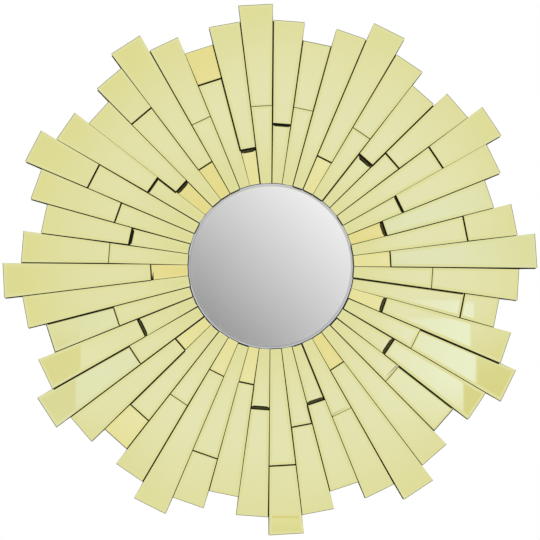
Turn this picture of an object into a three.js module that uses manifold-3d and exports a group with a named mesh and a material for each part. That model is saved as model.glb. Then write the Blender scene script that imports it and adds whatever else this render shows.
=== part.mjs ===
// Sunburst wall mirror: a round silver mirror ringed by rays of bevelled gold mirror glass at four heights.
// Millimetres, +Z up, front towards -Y. The origin is on the wall, at the middle of the hanging cleat.
import * as THREE from "three";
import Module from "manifold-3d";

// Ring of rays: the rays run clockwise from the top, seen from the front
const RAY_COUNT = 48;
const FIRST_RAY_DEG = -3.3;
const RAY_INNER = 156.6;
const RAY_REACHES = [500, 467, 434, 467];
const RAY_GAP = 0.8;

// Distances from the centre where a ray's glass is cut across, and the gap left at a cut
const NEAR = 225;
const MIDDLE = 269;
const FAR = 304;
const LATE = 368;
const LAST = 373;
const CUT_GAP = 1.4;

// A pattern of rays that repeats round the ring: where the glass of a ray is cut,
// and the level of each of its strips from the centre outwards
const PATTERN = [
  { cuts: [FAR], levels: [1, 0] },
  { cuts: [MIDDLE], levels: [0, 2] },
  { cuts: [FAR], levels: [1, 0] },
  { cuts: [], levels: [2] },
  { cuts: [NEAR], levels: [2, 3] },
  { cuts: [FAR], levels: [2, 2] },
  { cuts: [MIDDLE], levels: [0, 3] },
  { cuts: [FAR], levels: [1, 2] },
  { cuts: [LAST], levels: [2, 3] },
  { cuts: [MIDDLE], levels: [1, 3] },
  { cuts: [NEAR], levels: [1, 3] },
  { cuts: [LAST], levels: [2, 3] },
  { cuts: [NEAR], levels: [2, 3] },
  { cuts: [FAR], levels: [2, 2] },
  { cuts: [LATE], levels: [0, 1] },
  { cuts: [NEAR], levels: [0, 2] },
];

// Glass: thickness, width and depth of the ground bevel, and the round centre mirror
const GLASS = 4;
const BEVEL_WIDTH = 5.5;
const BEVEL_DEPTH = 0.7;
const DISC_RADIUS = 155.6;
const DISC_BEVEL_WIDTH = 5.5;
const DISC_SIDES = 120;

// Risers lift the glass by one step for each level, set in from its edges.
// The glass is bedded on them, and the riser of a higher strip butts against the lower one.
const LEVEL_STEP = 5;
const RISER_INSET = 1.5;
const LOWER_RISER_INSET = 1.8;
const BEDDING = 0.3;
const BUTT = 0.3;

// Board behind everything, a little larger than the glass, and the battens on its back
const BOARD = 9;
const BOARD_MARGIN = 0.6;
const BATTEN = 12;
const BATTEN_LENGTH = 300;
const BATTEN_HEIGHT = 50;
const BATTEN_CHAMFER = 1.5;
const HANG_RISE = 140;
const FIT_GAP = 0.3;

// Depths in front of the wall
const BOARD_BACK = BATTEN + FIT_GAP;
const BOARD_FRONT = BOARD_BACK + BOARD;
const RAY_BACK = BOARD_FRONT + FIT_GAP;

const HALF_PITCH = Math.PI / RAY_COUNT;
const wasm = await Module();
wasm.setup();

const goldMirror = () => new THREE.MeshStandardMaterial({ color: 0xe0dfa6, roughness: 0.06, metalness: 1 });
const silverMirror = () => new THREE.MeshStandardMaterial({ color: 0xd2d3d5, roughness: 0.04, metalness: 1 });
const blackPaint = () => new THREE.MeshStandardMaterial({ color: 0x17150f, roughness: 0.7, metalness: 0 });

const reachOf = (index) => RAY_REACHES[(index + RAY_COUNT) % RAY_REACHES.length];
const angleOf = (index) => THREE.MathUtils.degToRad(FIRST_RAY_DEG) + 2 * HALF_PITCH * index;

// Half the width of a ray, drawn in by an inset, at a distance from the centre
function halfWidth(distance, inset) {
  return distance * Math.tan(HALF_PITCH) - (RAY_GAP / 2 + inset) / Math.cos(HALF_PITCH);
}

// Corners of a stretch of an upright ray, its sides drawn in by an inset
function corners(inner, outer, inset) {
  const innerHalf = halfWidth(inner, inset);
  const outerHalf = halfWidth(outer, inset);
  return [[-innerHalf, inner], [innerHalf, inner], [outerHalf, outer], [-outerHalf, outer]];
}

// Closed solid through loops of four corners, each loop at its own depth in front of the wall
function loft(loops) {
  const positions = loops.flatMap(({ points, depth }) => points.flatMap(([x, z]) => [x, -depth, z]));
  const triangles = [];
  const quad = (a, b, c, d) => triangles.push(a, b, c, a, c, d);
  const last = 4 * (loops.length - 1);
  for (let start = 0; start < last; start += 4) {
    for (let side = 0; side < 4; side++) {
      const next = (side + 1) % 4;
      quad(start + side, start + next, start + 4 + next, start + 4 + side);
    }
  }
  quad(last, last + 1, last + 2, last + 3);
  quad(3, 2, 1, 0);
  return new wasm.Manifold(new wasm.Mesh({
    numProp: 3,
    vertProperties: new Float32Array(positions),
    triVerts: new Uint32Array(triangles),
  }));
}

// Strip of mirror glass with a ground bevel round its front
function glassStrip(inner, outer, back) {
  const edge = corners(inner, outer, 0);
  return loft([
    { points: edge, depth: back },
    { points: edge, depth: back + GLASS - BEVEL_DEPTH },
    { points: corners(inner + BEVEL_WIDTH, outer - BEVEL_WIDTH, BEVEL_WIDTH), depth: back + GLASS },
  ]);
}

// Strips of one ray, from the centre outwards
function stripsOf(index) {
  const { cuts, levels } = PATTERN[index % PATTERN.length];
  const starts = [RAY_INNER, ...cuts.map((cut) => cut + CUT_GAP / 2)];
  const ends = [...cuts.map((cut) => cut - CUT_GAP / 2), reachOf(index) - BOARD_MARGIN];
  return levels.map((level, i) => ({ inner: starts[i], outer: ends[i], level }));
}

// How far a riser runs past the end of its glass, towards the next strip or the ray's end
function riserRun(strip, next, inset) {
  if (!next || next.level > strip.level) {
    return -inset;
  }
  return next.level < strip.level ? CUT_GAP + BUTT : CUT_GAP / 2;
}

// Block under a strip, from the board to its bed in the glass. The higher block is the wider one.
function riser(strip, before, after) {
  const lower = [before, after].some((other) => other?.level > strip.level);
  const inset = lower ? LOWER_RISER_INSET : RISER_INSET;
  const inner = strip.inner - riserRun(strip, before, inset);
  const outer = strip.outer + riserRun(strip, after, inset);
  const points = corners(inner, outer, inset);
  return loft([
    { points, depth: RAY_BACK },
    { points, depth: RAY_BACK + strip.level * LEVEL_STEP + BEDDING },
  ]);
}

// One ray standing upright: its strips of glass and the risers under them, joined where they touch
function rayGeometry(index) {
  const strips = stripsOf(index);
  const solids = strips.map(({ inner, outer, level }) => (
    glassStrip(inner, outer, RAY_BACK + level * LEVEL_STEP)
  ));
  strips.forEach((strip, i) => {
    if (strip.level > 0) {
      solids.push(riser(strip, strips[i - 1], strips[i + 1]));
    }
  });
  const ray = solids.reduce((joined, solid) => joined.add(solid));
  const { vertProperties, triVerts } = ray.getMesh();
  const geometry = new THREE.BufferGeometry();
  geometry.setAttribute("position", new THREE.BufferAttribute(vertProperties, 3));
  geometry.setIndex(new THREE.BufferAttribute(triVerts, 1));
  geometry.computeVertexNormals();
  return geometry;
}

function rayMesh(index) {
  const mesh = new THREE.Mesh(rayGeometry(index), goldMirror());
  mesh.name = `ray_${String(index + 1).padStart(2, "0")}`;
  mesh.rotation.y = angleOf(index);
  return mesh;
}

// Board with one straight tip behind each ray. Where two tips differ, the step follows the longer ray.
function boardMesh() {
  const outline = [];
  for (let index = 0; index < RAY_COUNT; index++) {
    const tip = reachOf(index);
    for (const side of [-1, 1]) {
      const inset = reachOf(index + side) > tip ? BOARD_MARGIN - RAY_GAP : -BOARD_MARGIN;
      const corner = new THREE.Vector2(side * halfWidth(tip, inset), tip);
      outline.push(corner.rotateAround(new THREE.Vector2(), -angleOf(index)));
    }
  }
  const board = new THREE.ExtrudeGeometry(new THREE.Shape(outline), { depth: BOARD, bevelEnabled: false });
  const mesh = new THREE.Mesh(board, blackPaint());
  mesh.name = "backing_board";
  mesh.rotation.x = Math.PI / 2;
  mesh.position.y = -BOARD_BACK;
  return mesh;
}

// Round silver mirror with a ground bevel, on a round riser that lifts it by one step
function discMesh() {
  const front = -LEVEL_STEP - GLASS;
  const profile = [
    [0, 0],
    [DISC_RADIUS - RISER_INSET, 0],
    [DISC_RADIUS - RISER_INSET, -LEVEL_STEP],
    [DISC_RADIUS, -LEVEL_STEP],
    [DISC_RADIUS, front + BEVEL_DEPTH],
    [DISC_RADIUS - DISC_BEVEL_WIDTH, front],
    [0, front],
  ];
  const points = profile.map(([radius, y]) => new THREE.Vector2(radius, y)).reverse();
  const mesh = new THREE.Mesh(new THREE.LatheGeometry(points, DISC_SIDES), silverMirror());
  mesh.name = "centre_mirror";
  mesh.position.y = -RAY_BACK;
  return mesh;
}

// Batten along X, from its section in the YZ plane
function battenMesh(name, section) {
  const shape = new THREE.Shape(section.map(([y, z]) => new THREE.Vector2(y, z)));
  const geometry = new THREE.ExtrudeGeometry(shape, { depth: BATTEN_LENGTH, bevelEnabled: false });
  const alongX = new THREE.Matrix4().makeBasis(
    new THREE.Vector3(0, 1, 0),
    new THREE.Vector3(0, 0, 1),
    new THREE.Vector3(1, 0, 0),
  );
  geometry.translate(0, 0, -BATTEN_LENGTH / 2).applyMatrix4(alongX);
  const mesh = new THREE.Mesh(geometry, blackPaint());
  mesh.name = name;
  return mesh;
}

// Upper batten, undercut at 45 degrees so that it hooks over a batten on the wall
function cleatMesh() {
  const top = BATTEN_HEIGHT / 2;
  return battenMesh("hanging_cleat", [
    [-BATTEN, BATTEN - top],
    [0, -top],
    [0, top - BATTEN_CHAMFER],
    [-BATTEN_CHAMFER, top],
    [-BATTEN, top],
  ]);
}

// Lower batten that keeps the mirror upright against the wall
function spacerMesh() {
  const top = BATTEN_HEIGHT / 2;
  const mesh = battenMesh("lower_spacer", [
    [-BATTEN, -top],
    [-BATTEN_CHAMFER, -top],
    [0, BATTEN_CHAMFER - top],
    [0, top - BATTEN_CHAMFER],
    [-BATTEN_CHAMFER, top],
    [-BATTEN, top],
  ]);
  mesh.position.z = -2 * HANG_RISE;
  return mesh;
}

const sunburst = new THREE.Group();
sunburst.position.z = -HANG_RISE;
sunburst.add(boardMesh(), discMesh());
for (let index = 0; index < RAY_COUNT; index++) {
  sunburst.add(rayMesh(index));
}

const mirror = new THREE.Group();
mirror.add(sunburst, cleatMesh(), spacerMesh());

export default mirror;
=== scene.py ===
import math

import bmesh
import bpy
from mathutils import Matrix, Vector
from mathutils.geometry import tessellate_polygon


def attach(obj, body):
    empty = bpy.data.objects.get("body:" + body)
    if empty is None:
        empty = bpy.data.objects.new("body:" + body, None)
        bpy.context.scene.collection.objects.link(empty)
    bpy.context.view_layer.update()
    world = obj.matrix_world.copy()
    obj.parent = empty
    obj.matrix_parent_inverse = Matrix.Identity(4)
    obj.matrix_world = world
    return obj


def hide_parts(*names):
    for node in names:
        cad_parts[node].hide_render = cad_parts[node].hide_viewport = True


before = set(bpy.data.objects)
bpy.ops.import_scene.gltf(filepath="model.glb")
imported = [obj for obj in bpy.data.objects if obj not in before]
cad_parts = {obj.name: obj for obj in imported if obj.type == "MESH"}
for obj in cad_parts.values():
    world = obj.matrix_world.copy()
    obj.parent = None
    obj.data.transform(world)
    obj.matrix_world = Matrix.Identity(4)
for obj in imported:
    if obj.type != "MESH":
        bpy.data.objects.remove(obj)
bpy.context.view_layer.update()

MM = 0.001

# All lengths are in mm unless a comment says metres. Ring of rays, as in the solids:
RAY_COUNT = 48
FIRST_RAY_DEG = -3.3
RAY_REACHES = (500.0, 467.0, 434.0, 467.0)
RAY_GAP = 0.8
HALF_PITCH = math.pi / RAY_COUNT

# Distances from the centre where a ray is cut across, and widths of the cuts
NEAR, MIDDLE, FAR, LATE, LAST = 225.0, 269.0, 304.0, 368.0, 373.0
HAIR, LINE, WIDE = 0.6, 1.3, 1.7
# A pattern of rays that repeats round the ring: the cut, and the level of each strip from the centre outwards
PATTERN = (
    ((FAR, HAIR), (1, 0)),
    ((MIDDLE, WIDE), (0, 2)),
    ((FAR, HAIR), (1, 0)),
    (None, (2,)),
    ((NEAR, LINE), (2, 3)),
    ((FAR, HAIR), (2, 2)),
    ((MIDDLE, WIDE), (0, 3)),
    ((FAR, WIDE), (1, 2)),
    ((LAST, WIDE), (2, 3)),
    ((MIDDLE, WIDE), (1, 3)),
    ((NEAR, WIDE), (1, 3)),
    ((LAST, LINE), (2, 3)),
    ((NEAR, LINE), (2, 3)),
    ((FAR, HAIR), (2, 2)),
    ((LATE, LINE), (0, 1)),
    ((NEAR, WIDE), (0, 2)),
)

# Glass strips: thickness, ground bevels and arrises
GLASS = 4.0
BEVEL_WIDTH = 5.5
BEVEL_DEPTH = 0.7
DEEP_BEVEL = 2.3
END_BEVEL_WIDTH = 3.0
SIDE_ARRIS = 0.15
TIP_ARRIS = 0.9

# Risers lift the glass by one step for each level
LEVEL_STEP = 5.0
RISER_INSET = 1.5
RISER_CHAMFER = 0.4
RISER_CLEARANCE = 0.1

# Round centre mirror on a riser of one step. The outer part of its bevel is the rim.
DISC_RADIUS = 155.6
DISC_BEVEL_WIDTH = 5.5
DISC_RIM_WIDTH = 2.3
DISC_ARRIS = 0.3
DISC_ARRIS_DEPTH = 0.2
DISC_SIDES = 240

# Board, and the battens on its back with their sections in the YZ plane
BOARD = 9.0
BOARD_MARGIN = 0.6
BOARD_ARRIS = 0.5
BOARD_FACE_AREA = 0.3  # square metres: only the front and the back of the board are larger
BATTEN = 12.0
BATTEN_LENGTH = 300.0
BATTEN_ARRIS = 0.4
CLEAT_SECTION = ((-12.0, -13.0), (0.0, -25.0), (0.0, 23.5), (-1.5, 25.0), (-12.0, 25.0))
SPACER_SECTION = ((-12.0, -25.0), (-1.5, -25.0), (0.0, -23.5), (0.0, 23.5), (-1.5, 25.0), (-12.0, 25.0))
CLEAT_RISE = 0.0
SPACER_RISE = -280.0
ARRIS_SEGMENTS = 2

# Screws of a batten: places along it, radius and depth at mouth, neck and foot of the hole and of the screw,
# and length and half width of an arm of the cross recess at its lip and its floor
SCREW_PLACES = (-120.0, 0.0, 120.0)
COUNTERSINK = ((4.6, 0.0), (2.3, 2.4), (2.3, 6.0))
SCREW = ((4.2, 0.3), (1.9, 2.5), (1.9, 5.6))
SCREW_SIDES = 24
RECESS_LIP = (1.9, 0.45)
RECESS_FLOOR = (1.5, 0.35)
RECESS_DEPTH = 1.3

# Depths in front of the wall, and the drop from the cleat to the centre of the round mirror
FIT_GAP = 0.3
BOARD_BACK = BATTEN + FIT_GAP
BOARD_FRONT = BOARD_BACK + BOARD
RAY_BACK = BOARD_FRONT + FIT_GAP
HANG_RISE = 140.0
AT_CENTRE = Matrix.Translation((0, 0, -HANG_RISE * MM)) @ Matrix.Scale(MM, 4)

# Width of the dark line between a ray and the next one, at three distances from the centre.
# The longer of two rays is drawn in from the line by no more than LONG_RAY_DRAW.
LINE_STOPS = (160.0, 290.0, 430.0)
LONG_RAY_DRAW = 0.3
LINE_GAPS = (
    (2.1, 2.6, 2.6), (0.3, 2.2, 2.6), (1.7, 2.3, 1.3), (1.9, 2.6, 2.4),
    (0.5, 1.4, 2.4), (0.2, 2.4, 0.8), (1.7, 2.3, 2.6), (1.6, 2.6, 0.3),
    (0.2, 0.2, 0.3), (1.3, 1.8, 1.7), (1.6, 0.2, 1.2), (0.8, 2.6, 1.0),
    (0.9, 1.3, 2.6), (0.2, 0.2, 0.2), (0.2, 2.6, 1.4), (2.4, 0.8, 0.2),
    (1.8, 2.3, 2.0), (2.6, 0.2, 0.2), (2.1, 2.1, 2.6), (1.2, 2.6, 1.5),
    (0.6, 1.3, 2.4), (0.2, 1.4, 1.6), (1.5, 1.7, 1.7), (1.4, 2.3, 1.5),
    (0.2, 1.4, 2.5), (1.0, 2.4, 0.9), (0.2, 1.0, 1.9), (0.8, 0.9, 1.3),
    (1.1, 2.4, 2.6), (1.7, 2.6, 2.1), (0.7, 2.6, 1.0), (2.6, 2.6, 2.6),
    (2.6, 0.5, 0.2), (1.9, 2.6, 2.1), (0.9, 1.1, 0.2), (0.7, 1.1, 0.2),
    (0.6, 2.5, 2.4), (1.8, 2.6, 0.7), (0.5, 2.6, 2.2), (0.2, 2.1, 0.2),
    (2.3, 2.2, 0.6), (0.4, 0.2, 0.3), (0.2, 2.5, 1.5), (0.7, 0.2, 1.4),
    (1.3, 2.2, 2.5), (1.6, 2.6, 0.7), (0.4, 2.0, 2.2), (2.3, 1.9, 2.6),
)
# Gap between the centre mirror and the inner end of each ray
SET_BACKS = (
    0.3, 0.9, 0.3, 0.3, 0.3, 0.3, 0.8, 0.3, 0.3, 0.3, 0.5, 0.3,
    0.3, 0.3, 0.6, 1.2, 2.6, 0.6, 2.7, 0.7, 1.1, 0.8, 0.3, 0.3,
    0.6, 0.3, 0.6, 2.5, 0.3, 0.3, 0.3, 0.3, 1.6, 0.3, 1.8, 0.3,
    0.3, 0.3, 0.5, 0.3, 0.3, 0.3, 0.3, 0.3, 0.3, 0.3, 0.8, 0.8,
)

# Strips of another tint, by ray and by strip from the centre outwards
WARM = {(10, 0), (20, 0), (36, 0), (42, 0), (44, 0), (46, 1)}
PALE_WARM = {(4, 0), (12, 0), (15, 0), (26, 0), (28, 0), (30, 1), (31, 0), (47, 0)}
COOL = {(10, 1), (12, 1), (32, 1), (34, 1)}
# Inner strips whose outer bevel is ground steeper, over the whole end or towards one corner
DEEP_ENDS = {
    10: "both", 15: "both", 17: "both", 22: "both", 25: "both", 33: "both", 42: "both", 47: "both",
    6: "right", 16: "left", 18: "left", 21: "right", 36: "left",
}
# How far a strip's own small tilt throws its reflection aside, at the camera's distance:
# the most for inner strips and for other strips, and set for single strips
INNER_THROW = 3.0
OTHER_THROW = 6.0
THROWS = {
    (14, 0): (-6, -34), (14, 1): (-6, -30), (15, 1): (0, 0), (16, 1): (-10, 0), (17, 1): (14, 0),
    (32, 1): (8, -6), (33, 1): (0, 0),
}

# Camera: its place and aim from the centre of the round mirror
CAMERA_DISTANCE = 3000.0
CAMERA_X = -68.0
CAMERA_Z = -223.0
AIM_X = -1.5
AIM_Z = -7.5
LENS = 106.7
SENSOR_WIDTH = 36.0

# Floor, in metres
FLOOR_RADIUS = 2.2
FLOOR_HEIGHT = -1.75
FLOOR_SIDES = 128

# Multipliers of the fixed scatter
SCATTER_STEP = 12.9898
SCATTER_OFFSET = 1.37
SCATTER_GAIN = 43758.5453


def scatter(*key):
    """A fixed number from -1 to 1 for a key."""
    total = sum((i + 1) * SCATTER_STEP * (k + SCATTER_OFFSET) for i, k in enumerate(key))
    value = math.sin(total) * SCATTER_GAIN
    return 2 * (value - math.floor(value)) - 1


def reach_of(index):
    return RAY_REACHES[index % len(RAY_REACHES)]


def angle_of(index):
    return math.radians(FIRST_RAY_DEG) + 2 * HALF_PITCH * index


def half_width(distance, draw):
    """Half the width of a ray at a distance from the centre, its side drawn in from the line between rays."""
    return distance * math.tan(HALF_PITCH) - draw / math.cos(HALF_PITCH)


def line_gap(index, distance):
    """Width of the dark line after a ray, at a distance from the centre."""
    gaps = LINE_GAPS[index % RAY_COUNT]
    for (low, high), (start, end) in zip(zip(LINE_STOPS, LINE_STOPS[1:]), zip(gaps, gaps[1:])):
        if distance <= high:
            break
    share = min(max((distance - low) / (high - low), 0.0), 1.0)
    return start + (end - start) * share


def ray_place(index):
    """From an upright ray about the disc's centre, in mm, to its place on the wall, in metres."""
    return AT_CENTRE @ Matrix.Rotation(angle_of(index), 4, "Y")


class Surface:
    """A new material whose inputs are driven by noise."""

    def __init__(self, name):
        self.material = bpy.data.materials.new(name)
        self.material.use_nodes = True
        self.nodes = self.material.node_tree.nodes
        self.links = self.material.node_tree.links
        self.inputs = self.nodes["Principled BSDF"].inputs

    def noise(self, scale, detail, stretch=None):
        vector = self.nodes.new("ShaderNodeTexCoord").outputs["Object"]
        if stretch:
            mapping = self.nodes.new("ShaderNodeMapping")
            mapping.inputs["Scale"].default_value = stretch
            self.links.new(vector, mapping.inputs["Vector"])
            vector = mapping.outputs["Vector"]
        node = self.nodes.new("ShaderNodeTexNoise")
        node.inputs["Scale"].default_value = scale
        node.inputs["Detail"].default_value = detail
        self.links.new(vector, node.inputs["Vector"])
        return node.outputs["Fac"]

    def tint(self, value, deep, light, start=0.3, end=0.7):
        """Base colour from deep to light as a noise goes from start to end."""
        node = self.nodes.new("ShaderNodeValToRGB")
        for element, position, color in zip(node.color_ramp.elements, (start, end), (deep, light)):
            element.position = position
            element.color = (*color, 1)
        self.links.new(value, node.inputs["Fac"])
        self.links.new(node.outputs["Color"], self.inputs["Base Color"])

    def roughness(self, value, low, high, start=0.3, end=0.7):
        """Roughness from low to high as a noise goes from start to end."""
        node = self.nodes.new("ShaderNodeMapRange")
        for socket, number in (("From Min", start), ("From Max", end), ("To Min", low), ("To Max", high)):
            node.inputs[socket].default_value = number
        self.links.new(value, node.inputs["Value"])
        self.links.new(node.outputs["Result"], self.inputs["Roughness"])

    def bump(self, height, distance):
        node = self.nodes.new("ShaderNodeBump")
        node.inputs["Strength"].default_value = 1.0
        node.inputs["Distance"].default_value = distance
        self.links.new(height, node.inputs["Height"])
        self.links.new(node.outputs["Normal"], self.inputs["Normal"])


def mirror_glass(name, light, deep):
    """Polished mirror glass: the tint drifts a little, with faint smears and the waviness of float glass."""
    surface = Surface(name)
    surface.inputs["Metallic"].default_value = 1.0
    surface.tint(surface.noise(scale=9, detail=2), deep, light)
    smears = surface.noise(scale=60, detail=4, stretch=(1, 1, 0.35))
    surface.roughness(smears, low=0.006, high=0.02)
    surface.bump(surface.noise(scale=7, detail=1), distance=0.00002)
    return surface.material


def edge_glass(name, light, deep):
    """Ground edge of the glass, dark with a green or blue cast."""
    surface = Surface(name)
    surface.tint(surface.noise(scale=220, detail=3), deep, light)
    surface.roughness(surface.noise(scale=900, detail=2), low=0.22, high=0.42)
    surface.bump(surface.noise(scale=1500, detail=2), distance=0.00003)
    return surface.material


def black_paint(name, grain):
    """Matt black paint over board or wood: rolled texture, dusty high spots, grain where it is wood."""
    surface = Surface(name)
    fine = surface.noise(scale=700, detail=5, stretch=grain)
    cloud = surface.noise(scale=14, detail=3)
    surface.tint(cloud, deep=(0.010, 0.0095, 0.008), light=(0.022, 0.020, 0.017), end=0.72)
    surface.roughness(fine, low=0.5, high=0.8)
    surface.inputs["Specular IOR Level"].default_value = 0.35
    surface.bump(fine, distance=0.00012)
    return surface.material


def black_steel(name):
    """Blackened steel with worn, greyer patches."""
    surface = Surface(name)
    surface.inputs["Metallic"].default_value = 1.0
    worn = surface.noise(scale=400, detail=4)
    surface.tint(worn, deep=(0.10, 0.10, 0.10), light=(0.30, 0.29, 0.28), start=0.35, end=0.75)
    surface.roughness(worn, low=0.3, high=0.5)
    return surface.material


def floor_paint(name):
    surface = Surface(name)
    surface.tint(surface.noise(scale=3, detail=4), deep=(0.80, 0.80, 0.79), light=(0.84, 0.84, 0.83))
    surface.inputs["Roughness"].default_value = 0.8
    return surface.material


GOLD = mirror_glass("gold_mirror_glass", (0.796, 0.790, 0.432), (0.782, 0.776, 0.416))
GOLD_WARM = mirror_glass("warm_gold_mirror_glass", (0.848, 0.772, 0.346), (0.832, 0.756, 0.326))
GOLD_PALE = mirror_glass("pale_gold_mirror_glass", (0.858, 0.815, 0.415), (0.842, 0.800, 0.395))
GOLD_COOL = mirror_glass("cool_gold_mirror_glass", (0.786, 0.797, 0.470), (0.772, 0.784, 0.452))
SILVER = mirror_glass("silver_mirror_glass", (0.975, 0.975, 0.975), (0.960, 0.961, 0.963))
# Bevel and rim of the centre mirror: silver darkened as painted shade, standing in for the darker reflection that
# the ground bevel shows; the rim is also tinted blue.
SILVER_BEVEL_PAINTED_SHADE = mirror_glass("silver_mirror_bevel_painted_shade", (0.60, 0.61, 0.61), (0.55, 0.56, 0.56))
SILVER_RIM_PAINTED_SHADE = mirror_glass("silver_mirror_rim_painted_shade", (0.60, 0.62, 0.80), (0.55, 0.57, 0.74))
GOLD_EDGE = edge_glass("gold_glass_edge", (0.050, 0.052, 0.012), (0.016, 0.018, 0.004))
SILVER_EDGE = edge_glass("silver_glass_edge", (0.085, 0.10, 0.14), (0.03, 0.036, 0.055))
RISER_PAINT = edge_glass("dark_riser_paint", (0.085, 0.092, 0.034), (0.058, 0.063, 0.022))
BLACK_BOARD = black_paint("black_painted_board", None)
BLACK_WOOD = black_paint("black_painted_batten", (0.05, 1, 1))
BLACK_STEEL = black_steel("black_screw_steel")


def add_piece(name, bm, materials, slot, *nodes):
    """Piece on the root body, in place of the named nodes of the solids."""
    bmesh.ops.recalc_face_normals(bm, faces=bm.faces)
    mesh = bpy.data.meshes.new(name)
    bm.to_mesh(mesh)
    bm.free()
    for material in materials:
        mesh.materials.append(material)
    piece = bpy.data.objects.new(name, mesh)
    bpy.context.scene.collection.objects.link(piece)
    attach(piece, "root")
    if nodes:
        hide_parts(*nodes)


def loop_of(bm, points, place):
    return [bm.verts.new(place @ Vector(point)) for point in points]


def face(bm, verts, material=0):
    bm.faces.new([vert for vert in verts if vert]).material_index = material


def wall(bm, lower, upper, material=0):
    for i in range(len(lower)):
        j = (i + 1) % len(lower)
        face(bm, (lower[i], lower[j], upper[j], upper[i]), material)


class StripSides:
    """Sides of a strip of an upright ray, drawn in by the dark lines next to it."""

    def __init__(self, index, inner, outer):
        self.inner = inner
        self.outer = outer
        self.draws = {
            side: [self.draw(index, side, distance) for distance in (inner, outer)] for side in (-1, 1)
        }

    @staticmethod
    def draw(index, side, distance):
        """The shorter of two rays leaves most of the dark line free."""
        gap = line_gap(index if side > 0 else index - 1, distance)
        kept = min(gap / 2, LONG_RAY_DRAW)
        return kept if reach_of(index) > reach_of(index + side) else gap - kept

    def at(self, side, distance, inset):
        start, end = self.draws[side]
        draw = start + (end - start) * (distance - self.inner) / (self.outer - self.inner)
        return side * half_width(distance, draw + inset)

    def outline(self, inner_inset, outer_inset, side_inset, depth):
        low = self.inner + inner_inset
        high = self.outer - outer_inset
        return [(self.at(side, distance, side_inset), -depth, distance)
                for side, distance in ((-1, low), (1, low), (1, high), (-1, high))]


def tilted_place(index, inner, outer, front, throw):
    """Place of a strip that is tilted about its middle, to throw its reflection across and up the wall."""
    across, up = throw
    tilt = Matrix.Rotation(across / 2 / CAMERA_DISTANCE, 4, "Z")
    tilt = tilt @ Matrix.Rotation(-up / 2 / CAMERA_DISTANCE, 4, "X")
    turn = Matrix.Rotation(angle_of(index), 4, "Y")
    centre = Matrix.Translation((0, -front, (inner + outer) / 2))
    # The tilt is given in the wall's axes, so it is turned into the ray's
    return ray_place(index) @ centre @ turn.inverted() @ tilt @ turn @ centre.inverted()


def tint_of(index, strip):
    for strips, tint in ((WARM, GOLD_WARM), (PALE_WARM, GOLD_PALE), (COOL, GOLD_COOL)):
        if (index, strip) in strips:
            return tint
    return GOLD


def glass_strip(name, index, strip, inner, outer, level, deep, throw):
    """Strip of mirror glass: polished front and bevels, dark ground edges and arrises."""
    back = RAY_BACK + level * LEVEL_STEP
    front = back + GLASS
    foot = front - BEVEL_DEPTH
    place = tilted_place(index, inner, outer, front, throw)
    sides = StripSides(index, inner, outer)
    bm = bmesh.new()
    rear = loop_of(bm, sides.outline(SIDE_ARRIS, SIDE_ARRIS, SIDE_ARRIS, back), place)
    low = loop_of(bm, sides.outline(0, 0, 0, back + SIDE_ARRIS), place)
    brink_depth = front - (DEEP_BEVEL if deep else BEVEL_DEPTH) - SIDE_ARRIS
    brink = loop_of(bm, sides.outline(0, 0, 0, brink_depth), place)
    top = loop_of(bm, sides.outline(END_BEVEL_WIDTH, BEVEL_WIDTH, BEVEL_WIDTH, front), place)
    face(bm, rear[::-1], 1)
    wall(bm, rear, low, 1)
    wall(bm, low, brink, 1)
    face(bm, top)
    # Foot of the bevel: a corner that is ground deeper has a mitre point on the long side
    tip_arris = SIDE_ARRIS if deep else TIP_ARRIS
    corners = sides.outline(SIDE_ARRIS, tip_arris, SIDE_ARRIS, foot)
    ends = loop_of(bm, corners[:2], place)
    mitre = outer - BEVEL_WIDTH * (1 - BEVEL_DEPTH / DEEP_BEVEL)
    outer_corners = []
    for side, (x, _, z) in ((1, corners[2]), (-1, corners[3])):
        is_deep = deep in ("both", "right" if side > 0 else "left")
        depth = front - DEEP_BEVEL if is_deep else foot
        end = bm.verts.new(place @ Vector((x, -depth, z)))
        point = None
        if is_deep:
            point = bm.verts.new(place @ Vector((sides.at(side, mitre, SIDE_ARRIS), -foot, mitre)))
        outer_corners.append((end, point))
    (right, right_mitre), (left, left_mitre) = outer_corners
    # Bevels
    face(bm, (ends[0], ends[1], top[1], top[0]))
    face(bm, (ends[1], right_mitre or right, top[2], top[1]))
    face(bm, (left_mitre or left, ends[0], top[0], top[3]))
    if deep == "right":
        face(bm, (top[2], right_mitre, right))
        face(bm, (top[2], right, top[3]))
        face(bm, (right, left, top[3]))
    elif deep == "left":
        face(bm, (top[3], left, left_mitre))
        face(bm, (top[3], top[2], left))
        face(bm, (right, left, top[2]))
    else:
        face(bm, (top[2], right_mitre, right, left, left_mitre, top[3]))
    # Arrises between the bevels and the edges
    face(bm, (brink[0], brink[1], ends[1], ends[0]), 1)
    face(bm, (brink[1], brink[2], right, right_mitre, ends[1]), 1)
    face(bm, (brink[2], brink[3], left, right), 1)
    face(bm, (brink[3], brink[0], ends[0], left_mitre, left), 1)
    add_piece(name, bm, (tint_of(index, strip), GOLD_EDGE), "gold_mirror", f"ray_{index + 1:02d}")


def riser(name, index, inner, outer, level):
    """Block that lifts a strip of glass from the board, set in from its edges."""
    front = RAY_BACK + level * LEVEL_STEP - RISER_CLEARANCE
    place = ray_place(index)
    bm = bmesh.new()
    sides = StripSides(index, inner, outer)
    rings = ((RISER_INSET, RAY_BACK), (RISER_INSET, front - RISER_CHAMFER), (RISER_INSET + RISER_CHAMFER, front))
    loops = [loop_of(bm, sides.outline(inset, inset, inset, depth), place) for inset, depth in rings]
    face(bm, loops[0][::-1])
    for lower, upper in zip(loops, loops[1:]):
        wall(bm, lower, upper)
    face(bm, loops[-1])
    add_piece(name, bm, (RISER_PAINT,), "black_board", f"ray_{index + 1:02d}")


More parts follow.
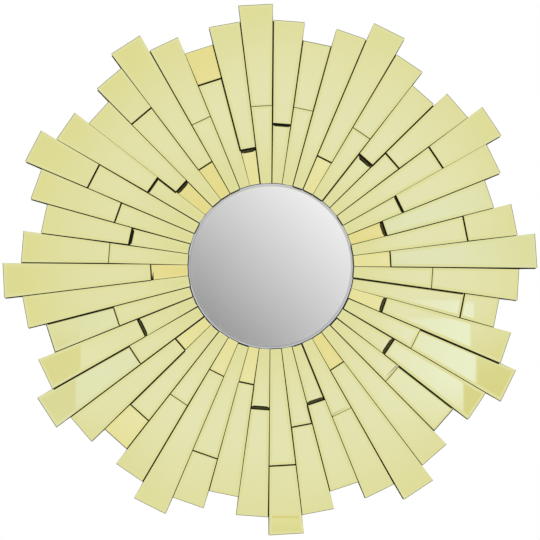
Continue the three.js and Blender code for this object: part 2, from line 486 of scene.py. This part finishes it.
def make_ray(index):
    cut, levels = PATTERN[index % len(PATTERN)]
    inner_end = DISC_RADIUS + SET_BACKS[index]
    outer_end = reach_of(index) - BOARD_MARGIN
    if cut:
        where, gap = cut
        spans = [(inner_end, where - gap / 2), (where + gap / 2, outer_end)]
        names = ["inner", "outer"]
    else:
        spans = [(inner_end, outer_end)]
        names = ["whole"]
    for strip, ((inner, outer), level, part) in enumerate(zip(spans, levels, names)):
        label = f"ray_{index + 1:02d}_{part}"
        most = INNER_THROW if part == "inner" else OTHER_THROW
        scattered = (most * scatter(index, strip, 1), most * scatter(index, strip, 2))
        throw = THROWS.get((index, strip), scattered)
        deep = DEEP_ENDS.get(index) if part == "inner" else None
        glass_strip(f"{label}_glass", index, strip, inner, outer, level, deep, throw)
        if level > 0:
            riser(f"{label}_riser", index, inner, outer, level)


def make_disc():
    """Round silver mirror: edge and arrises, a ground bevel with a bluer rim, both in silver darkened as painted
    shade, and the riser under it.
    """
    materials = (SILVER, SILVER_EDGE, SILVER_BEVEL_PAINTED_SHADE, SILVER_RIM_PAINTED_SHADE, RISER_PAINT)
    front_glass, edge, bevel, rim, paint = range(len(materials))
    back = RAY_BACK + LEVEL_STEP
    front = back + GLASS
    # Radius and depth, and the material from there to the next row
    profile = (
        (DISC_RADIUS - RISER_INSET, RAY_BACK, paint),
        (DISC_RADIUS - RISER_INSET, back, edge),
        (DISC_RADIUS - DISC_ARRIS, back, edge),
        (DISC_RADIUS, back + DISC_ARRIS, edge),
        (DISC_RADIUS, front - BEVEL_DEPTH - DISC_ARRIS_DEPTH, edge),
        (DISC_RADIUS - DISC_ARRIS, front - BEVEL_DEPTH, rim),
        (DISC_RADIUS - DISC_ARRIS - DISC_RIM_WIDTH, front - BEVEL_DEPTH * DISC_RIM_WIDTH / DISC_BEVEL_WIDTH, bevel),
        (DISC_RADIUS - DISC_BEVEL_WIDTH, front, front_glass),
    )
    turns = [2 * math.pi * i / DISC_SIDES for i in range(DISC_SIDES)]
    bm = bmesh.new()
    loops = []
    for radius, depth, _ in profile:
        points = [(radius * math.sin(turn), -depth, radius * math.cos(turn)) for turn in turns]
        loops.append(loop_of(bm, points, AT_CENTRE))
    face(bm, loops[0], paint)
    for lower, upper, (_, _, material) in zip(loops, loops[1:], profile):
        wall(bm, lower, upper, material)
    face(bm, loops[-1], front_glass)
    add_piece("centre_disc", bm, materials, "silver_mirror", "centre_mirror")


def make_board():
    """Board with one straight tip behind each ray. Where two tips differ, the step follows the longer ray."""
    outline = []
    for index in range(RAY_COUNT):
        tip = reach_of(index)
        cos, sin = math.cos(angle_of(index)), math.sin(angle_of(index))
        for side in (-1, 1):
            inset = BOARD_MARGIN - RAY_GAP if reach_of(index + side) > tip else -BOARD_MARGIN
            x = side * half_width(tip, RAY_GAP / 2 + inset)
            outline.append((x * cos + tip * sin, tip * cos - x * sin))
    bm = bmesh.new()
    rear = loop_of(bm, [(x, -BOARD_BACK, z) for x, z in outline], AT_CENTRE)
    front = loop_of(bm, [(x, -BOARD_FRONT, z) for x, z in outline], AT_CENTRE)
    face(bm, rear[::-1])
    face(bm, front)
    wall(bm, rear, front)
    rims = [edge for edge in bm.edges
            if {side.calc_area() > BOARD_FACE_AREA for side in edge.link_faces} == {True, False}]
    soften(bm, rims, BOARD_ARRIS)
    add_piece("board", bm, (BLACK_BOARD,), "black_board", "backing_board")


def soften(bm, edges, arris):
    bmesh.ops.bevel(bm, geom=edges, offset=arris * MM, segments=ARRIS_SEGMENTS, affect="EDGES", profile=0.5)


def circle(x, z, radius):
    turns = [2 * math.pi * i / SCREW_SIDES for i in range(SCREW_SIDES)]
    return [(x + radius * math.cos(turn), z + radius * math.sin(turn)) for turn in turns]


def cross(x, z, arm, half):
    """Outline of a cross: length and half width of an arm."""
    quarter = [(arm, -half), (arm, half), (half, half)]
    points = []
    for turn in range(4):
        cos, sin = math.cos(turn * math.pi / 2), math.sin(turn * math.pi / 2)
        points += [(x + cos * a - sin * b, z + sin * a + cos * b) for a, b in quarter]
    return points


def punched(bm, rim, holes):
    """Fill a face between a rim of vertices and holes in it."""
    loops = [rim, *holes]
    verts = [vert for loop in loops for vert in loop]
    for triangle in tessellate_polygon([[vert.co for vert in loop] for loop in loops]):
        face(bm, [verts[i] for i in triangle])


def ring_at(bm, points, depth):
    return [bm.verts.new(Vector((x, -depth, z)) * MM) for x, z in points]


def turned(bm, x, z, profile):
    """Walls through circles of the given radii and depths, closed at the foot. Returns the first circle."""
    mouth, neck, foot = [ring_at(bm, circle(x, z, radius), depth) for radius, depth in profile]
    wall(bm, mouth, neck)
    wall(bm, neck, foot)
    face(bm, foot)
    return mouth


def make_batten(name, node, section, rise):
    """Batten on the back with a softened rim, countersunk for its screws."""
    bm = bmesh.new()
    left, right = [[bm.verts.new(Vector((x, y, z + rise)) * MM) for y, z in section]
                   for x in (-BATTEN_LENGTH / 2, BATTEN_LENGTH / 2)]
    face(bm, left)
    face(bm, right[::-1])
    wall(bm, left, right)
    bmesh.ops.recalc_face_normals(bm, faces=bm.faces)
    soften(bm, bm.edges[:], BATTEN_ARRIS)
    back = max(bm.faces, key=lambda side: side.normal.y * side.calc_area())
    rim = list(back.verts)
    bmesh.ops.delete(bm, geom=[back], context="FACES_ONLY")
    punched(bm, rim, [turned(bm, x, rise, COUNTERSINK) for x in SCREW_PLACES])
    add_piece(name, bm, (BLACK_WOOD,), "black_board", node)


def make_screws(name, rise):
    """Countersunk screws with a cross recess, their heads just below the batten's face."""
    bm = bmesh.new()
    top = SCREW[0][1]
    for x in SCREW_PLACES:
        head = turned(bm, x, rise, SCREW)
        lip = ring_at(bm, cross(x, rise, *RECESS_LIP), top)
        floor = ring_at(bm, cross(x, rise, *RECESS_FLOOR), top + RECESS_DEPTH)
        punched(bm, head, [lip])
        wall(bm, lip, floor)
        face(bm, floor)
    add_piece(name, bm, (BLACK_STEEL,), "black_board")


def make_floor():
    bm = bmesh.new()
    bmesh.ops.create_circle(bm, cap_ends=True, radius=FLOOR_RADIUS, segments=FLOOR_SIDES,
                            matrix=Matrix.Translation((0, 0, FLOOR_HEIGHT)))
    mesh = bpy.data.meshes.new("floor")
    bm.to_mesh(mesh)
    bm.free()
    mesh.materials.append(floor_paint("pale_floor"))
    floor = bpy.data.objects.new("floor", mesh)
    bpy.context.scene.collection.objects.link(floor)


# Studio light. Places are in mm on the plane that the mirror shows the camera, from the centre of the round
# mirror. A fade is a pair: where a light starts to come up, and where it is full.
MIN_FORWARD = 0.04
WALL_WARM = (0.925, 0.905, 0.70)
WALL_COOL = (0.985, 0.992, 1.055)
COOL_FADES = ((90, 300), (560, 300))
# Cooler towards the right of a slanting line
SLANT = -0.7
SLANT_FADE = (-330, 60)
SLANT_GAIN = 0.36
COOL_DROP = 0.34
# Patches on the walls, in the order they are laid on: fades across, fades up, strength and colour
WALL_PATCHES = (
    # Soft box low on the right, with a straight right-hand edge, and the dimmer wall beyond it
    (((170, 370), (377, 374)), ((-94, -102), (-330, -190)), 1.0, (1.05, 1.10, 1.36)),
    (((374, 377), (520, 470)), ((-100, -230), (-360, -290)), 1.0, (0.875, 0.845, 0.58)),
    # Weaker soft box low on the left, and the dimmer wall beyond it
    (((-230, -340), (-357, -354)), ((-120, -170), (-330, -240)), 0.7, (0.985, 1.0, 1.06)),
    (((-354, -357),), ((-110, -170), (-330, -260)), 1.0, (0.90, 0.875, 0.67)),
    # Low in the middle: the edge of the floor, the dimmer floor below it, and an amber line along it
    ((), ((-463, -466),), 1.0, (0.945, 0.925, 0.74)),
    ((), ((-466, -500),), 1.0, (0.89, 0.865, 0.63)),
    ((), ((-461, -463), (-467, -465)), 1.0, (0.87, 0.80, 0.50)),
)
# Dim round opening behind the camera, brighter towards the upper right
OPENING_FADE = (153.0, 151.6)
OPENING_GREY = 0.61
OPENING_SLOPE = 0.00177 / math.sqrt(2)
# Room round the walls: its colour by the height of a direction
WALLS_FADE = (690, 560)
ROOM_LOW, ROOM_MIDDLE, ROOM_HIGH = (0.66, 0.65, 0.60), (0.945, 0.938, 0.81), (1.0, 1.0, 0.99)
ROOM_MIDDLE_FADE = (-0.95, -0.5)
ROOM_HIGH_FADE = (0.3, 0.9)
# Far sides, greyer, with tall soft boxes. The slope of a direction is its X over its distance forward.
FAR_LOW, FAR_HIGH, FAR_BOX = (0.50, 0.50, 0.51), (0.92, 0.92, 0.93), (1.06, 1.06, 1.05)
FAR_FADE = (1650, 1900)
FAR_HIGH_FADE = (-0.6, 0.7)
FAR_BOX_SLOPES = ((0.55, 1.0), (1.7, 1.5))
FAR_BOX_RISE = (-0.55, -0.2)
# Rim of the round light that the bevel of the centre mirror shows, dimmer towards the lower left
RIM_FADES = ((685, 700), (785, 772))
RIM_GREY = 0.78
RIM_SLOPE = 0.00024 / math.sqrt(2)
WHITE = (1.0, 1.0, 1.0)


class Studio:
    """World light by direction, laid out on the plane that the mirror shows the camera."""

    def __init__(self):
        world = bpy.data.worlds.new("studio")
        bpy.context.scene.world = world
        world.use_nodes = True
        self.nodes = world.node_tree.nodes
        self.links = world.node_tree.links
        self.background = self.nodes["Background"]
        direction = self.nodes.new("ShaderNodeSeparateXYZ")
        coords = self.nodes.new("ShaderNodeTexCoord")
        self.links.new(coords.outputs["Generated"], direction.inputs["Vector"])
        forward = self.math("MAXIMUM", self.math("MULTIPLY", direction.outputs["Y"], -1.0), MIN_FORWARD)
        self.rise = direction.outputs["Z"]
        self.across = self.math("DIVIDE", direction.outputs["X"], forward)
        up = self.math("DIVIDE", direction.outputs["Z"], forward)
        self.x = self.math("MULTIPLY_ADD", self.across, CAMERA_DISTANCE, CAMERA_X)
        self.z = self.math("MULTIPLY_ADD", up, CAMERA_DISTANCE, CAMERA_Z)
        squares = [self.math("MULTIPLY", place, place) for place in (self.x, self.z)]
        self.radius = self.math("SQRT", self.math("ADD", *squares))

    def math(self, operation, *values):
        node = self.nodes.new("ShaderNodeMath")
        node.operation = operation
        for socket, value in zip(node.inputs, values):
            if isinstance(value, (int, float)):
                socket.default_value = value
            else:
                self.links.new(value, socket)
        return node.outputs[0]

    def fade(self, value, *fades):
        """1 where every fade of a value is full."""
        result = None
        for start, end in fades:
            node = self.nodes.new("ShaderNodeMapRange")
            node.interpolation_type = "SMOOTHSTEP"
            node.inputs["From Min"].default_value = start
            node.inputs["From Max"].default_value = end
            self.links.new(value, node.inputs["Value"])
            mask = node.outputs["Result"]
            result = self.math("MULTIPLY", result, mask) if result else mask
        return result

    def mix(self, factor, low, high):
        node = self.nodes.new("ShaderNodeMix")
        node.data_type = "RGBA"
        self.links.new(factor, node.inputs["Factor"])
        for name, value in (("A", low), ("B", high)):
            socket = [s for s in node.inputs if s.name == name and s.type == "RGBA"][0]
            if isinstance(value, tuple):
                socket.default_value = (*value, 1)
            else:
                self.links.new(value, socket)
        return [s for s in node.outputs if s.type == "RGBA"][0]

    def sloping_grey(self, middle, slope):
        """Grey that brightens towards the upper right."""
        value = self.math("MULTIPLY_ADD", self.math("ADD", self.x, self.z), slope, middle)
        node = self.nodes.new("ShaderNodeCombineColor")
        for channel in ("Red", "Green", "Blue"):
            self.links.new(value, node.inputs[channel])
        return node.outputs["Color"]


def studio_walls(s):
    """Pale walls round the camera, coolest at mid radius and warmer towards the left, with what is on them."""
    slanted = s.math("MULTIPLY_ADD", s.math("MINIMUM", s.z, 0.0), SLANT, s.x)
    cool = s.math("SUBTRACT", s.fade(s.radius, *COOL_FADES), COOL_DROP)
    cool = s.math("MULTIPLY_ADD", s.fade(slanted, SLANT_FADE), SLANT_GAIN, cool)
    walls = s.mix(cool, WALL_WARM, WALL_COOL)
    for across, up, strength, color in WALL_PATCHES:
        lit = s.fade(s.z, *up)
        if across:
            lit = s.math("MULTIPLY", lit, s.fade(s.x, *across))
        walls = s.mix(s.math("MULTIPLY", lit, strength), walls, color)
    return s.mix(s.fade(s.radius, OPENING_FADE), walls, s.sloping_grey(OPENING_GREY, OPENING_SLOPE))


def studio_room(s):
    """The rest of the room, and its far sides, which the mirrors show when seen from the side."""
    room = s.mix(s.fade(s.rise, ROOM_MIDDLE_FADE), ROOM_LOW, ROOM_MIDDLE)
    room = s.mix(s.fade(s.rise, ROOM_HIGH_FADE), room, ROOM_HIGH)
    far = s.mix(s.fade(s.rise, FAR_HIGH_FADE), FAR_LOW, FAR_HIGH)
    slope = s.math("ABSOLUTE", s.across)
    box = s.math("MULTIPLY", s.fade(slope, *FAR_BOX_SLOPES), s.fade(s.rise, FAR_BOX_RISE))
    far = s.mix(box, far, FAR_BOX)
    return s.mix(s.fade(s.radius, FAR_FADE), room, far)


def light_studio():
    s = Studio()
    studio = s.mix(s.fade(s.radius, WALLS_FADE), studio_room(s), studio_walls(s))
    studio = s.mix(s.fade(s.radius, *RIM_FADES), studio, s.sloping_grey(RIM_GREY, RIM_SLOPE))
    # The camera itself sees white behind the mirror
    seen = s.nodes.new("ShaderNodeLightPath")
    s.links.new(s.mix(seen.outputs["Is Camera Ray"], studio, WHITE), s.background.inputs["Color"])


def add_camera():
    data = bpy.data.cameras.new("camera")
    data.sensor_width = SENSOR_WIDTH
    data.lens = LENS
    camera = bpy.data.objects.new("camera", data)
    bpy.context.scene.collection.objects.link(camera)
    front = RAY_BACK + GLASS
    place = Vector((CAMERA_X, -front - CAMERA_DISTANCE, CAMERA_Z - HANG_RISE)) * MM
    aim = Vector((AIM_X, -front, AIM_Z - HANG_RISE)) * MM
    camera.location = place
    camera.rotation_euler = (aim - place).to_track_quat("-Z", "Y").to_euler()
    bpy.context.scene.camera = camera


for ray in range(RAY_COUNT):
    make_ray(ray)
make_disc()
make_board()
make_batten("hanging_batten", "hanging_cleat", CLEAT_SECTION, CLEAT_RISE)
make_batten("lower_batten", "lower_spacer", SPACER_SECTION, SPACER_RISE)
make_screws("hanging_batten_screws", CLEAT_RISE)
make_screws("lower_batten_screws", SPACER_RISE)
make_floor()
light_studio()
add_camera()
bpy.context.scene.view_settings.view_transform = "Standard"

bpy.context.view_layer.update()
